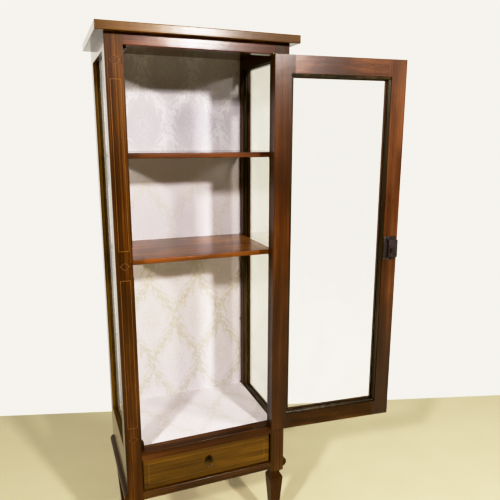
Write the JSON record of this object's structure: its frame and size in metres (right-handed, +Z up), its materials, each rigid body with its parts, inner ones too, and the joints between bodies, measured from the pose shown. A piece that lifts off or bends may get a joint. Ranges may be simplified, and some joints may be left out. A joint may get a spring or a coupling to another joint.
{
  "type": "glazed display cabinet",
  "caption": "Tall floor-standing display cabinet with a glazed pivot-hinged door, glazed sides, lined interior, shelves, a drawer below and square tapered legs.",
  "frame": {"origin": "on the floor, under the middle of the front left foot's sole", "axes": "+Z up, +X towards the viewer's right along the front, +Y from the front to the back; the door is drawn swung open"},
  "size_m": [0.9604, 0.4574, 1.7],
  "materials": {
    "walnut": "satin varnish",
    "drawer_walnut": "satin varnish",
    "plain_wood": "matt",
    "clear_glass": "polished",
    "lining": "damask",
    "black_iron": "blackened",
    "black_plastic": "matt",
    "steel": "satin",
    "brass": "aged"
  },
  "bodies": {
    "case": {"top_slab": "walnut", "post_front_left": "walnut", "post_front_right": "walnut", "post_back_left": "walnut", "post_back_right": "walnut", "leg_front_left": "walnut", "leg_front_right": "walnut", "leg_back_left": "walnut", "leg_back_right": "walnut", "front_frieze_rail": "walnut", "front_sill_rail": "walnut", "front_bottom_rail": "walnut", "back_bottom_rail": "walnut", "side_frieze_left": "walnut", "side_frieze_right": "walnut", "side_panel_left": "walnut", "side_panel_right": "walnut", "side_bead_left": "walnut", "side_bead_right": "walnut", "side_glass_left": "clear_glass", "side_glass_right": "clear_glass", "glazing_beads_left": "walnut", "glazing_beads_right": "walnut", "back_panel": "plain_wood", "back_lining": "lining", "floor_panel": "walnut", "floor_lining": "lining", "upper_shelf": "walnut", "middle_shelf": "walnut", "shelf_pins": "black_iron", "door_stop_strip": "walnut", "door_stop_block": "black_plastic", "bolt_keeper": "black_iron", "hinge_leaves_case": "brass", "hinge_washers": "brass", "hinge_screws_case": "brass", "runner_left": "plain_wood", "runner_right": "plain_wood", "kickers": "plain_wood"},
    "door": {"door_stile_hinge": "walnut", "door_stile_lock": "walnut", "door_rail_top": "walnut", "door_rail_bottom": "walnut", "door_glass": "clear_glass", "door_beads": "walnut", "hinge_leaves_door": "brass", "hinge_screws_door": "brass", "lock_case": "black_iron", "lock_plate_screws": "black_iron", "keyhole_plate": "brass"},
    "bolt": {"lock_bolt": "steel"},
    "key": {"key": "brass"},
    "drawer": {"drawer_front": "drawer_walnut", "drawer_side_left": "plain_wood", "drawer_side_right": "plain_wood", "drawer_back": "plain_wood", "drawer_bottom": "plain_wood", "pull_rosette": "black_iron"},
    "pull_ring": {"pull_ring": "black_iron"}
  },
  "joints": [
    {"name": "door_hinge", "type": "hinge", "parent": "case", "child": "door", "pos_m": [0.46975, -0.028, 1], "axis": [0, 0, 1], "range_deg": [-174.8, 5]},
    {"name": "drawer_slide", "type": "slide", "parent": "case", "child": "drawer", "axis": [0, -1, 0], "range_m": [0, 0.21]},
    {"name": "key_turn", "type": "hinge", "parent": "door", "child": "key", "pos_m": [0.88053, -0.0684, 1.03], "axis": [-0.0906, -0.9959, 0], "range_deg": [0, 180]},
    {"name": "bolt_slide", "type": "slide", "parent": "door", "child": "bolt", "axis": [0.9959, -0.0906, 0], "range_m": [0, 0.012]},
    {"name": "ring_swing", "type": "hinge", "parent": "drawer", "child": "pull_ring", "pos_m": [0.25, -0.0246, 0.333], "axis": [-1, 0, 0], "range_deg": [-8, 100]}
  ],
  "couplings": [
    {"joint": "key_turn", "follows": "bolt_slide", "rad_per_m": 261.79}
  ]
}
